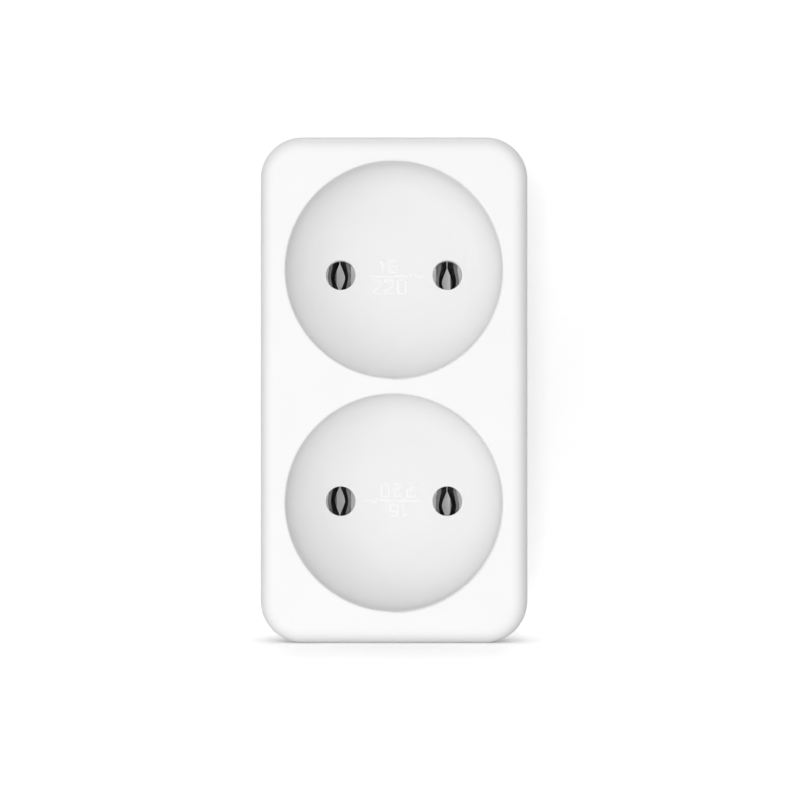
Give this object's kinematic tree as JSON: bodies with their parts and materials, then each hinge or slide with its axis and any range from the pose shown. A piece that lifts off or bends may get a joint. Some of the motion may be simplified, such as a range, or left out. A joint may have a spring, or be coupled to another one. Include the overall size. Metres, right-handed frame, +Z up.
{
  "type": "double socket adapter",
  "caption": "Plug-in adapter with round recesses one above the other for round-pin plugs without earth, and a round plug boss at the back.",
  "frame": {"origin": "middle of the plug face, between the plug pins", "axes": "+X right and +Z up as seen from the front when plugged into a wall, +Y into the wall, along the pins"},
  "size_m": [0.0466, 0.061, 0.088],
  "materials": {
    "white_plastic": "satin",
    "plated_brass": "nickel plated",
    "steel": "zinc plated"
  },
  "bodies": {
    "root": {"front_cover": "white_plastic", "rear_cover": "white_plastic", "left_pin": "plated_brass", "right_pin": "plated_brass", "left_inner_strip": "plated_brass", "left_outer_strip": "plated_brass", "right_inner_strip": "plated_brass", "right_outer_strip": "plated_brass", "left_upper_rivet": "plated_brass", "left_middle_rivet": "plated_brass", "left_lower_rivet": "plated_brass", "right_upper_rivet": "plated_brass", "right_middle_rivet": "plated_brass", "right_lower_rivet": "plated_brass", "left_upper_spring": "steel", "left_lower_spring": "steel", "right_upper_spring": "steel", "right_lower_spring": "steel", "upper_case_screw": "steel", "lower_case_screw": "steel"}
  },
  "joints": []
}
